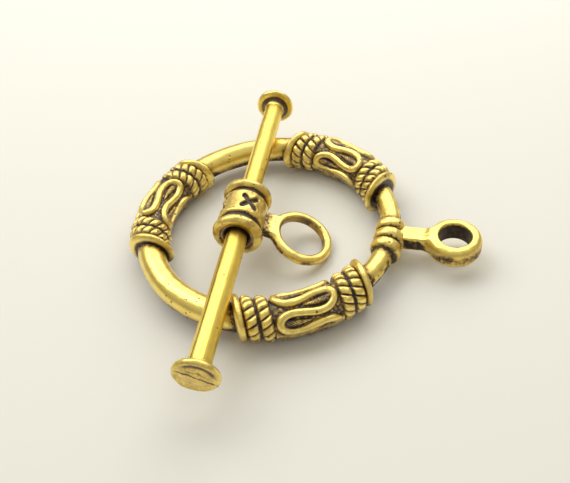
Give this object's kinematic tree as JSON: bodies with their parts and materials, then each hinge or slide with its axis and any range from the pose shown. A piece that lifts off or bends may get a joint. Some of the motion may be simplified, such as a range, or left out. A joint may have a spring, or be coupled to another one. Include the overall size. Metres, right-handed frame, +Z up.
{
  "type": "toggle clasp",
  "caption": "Antique-gold toggle clasp: a cast ring with scroll-and-rope sleeves and an eye, and a loose T-bar with a banded barrel and a loop that lies across the ring.",
  "frame": {"origin": "on the surface that the clasp lies on, straight below the middle of the ring", "axes": "+Z up, along the axis of the ring's eye; +X from the ring's middle to its eye; the bar lies across the ring roughly along Y, and its loop points to +X"},
  "size_m": [0.0259, 0.028, 0.0052],
  "materials": {
    "antique_gold_ring": "antique gold plate: bright worn highs, near-black brown patina in the recesses",
    "antique_gold_bar": "antique gold plate: bright smooth shaft, brown-black patina in grooves and marks"
  },
  "bodies": {
    "ring": {"toggle_ring": "antique_gold_ring"},
    "bar": {"toggle_bar": "antique_gold_bar"}
  },
  "joints": [
    {"name": "bar_lift", "type": "slide", "parent": "ring", "child": "bar", "axis": [0, 0, 1], "range_m": [0, 0.015]}
  ]
}
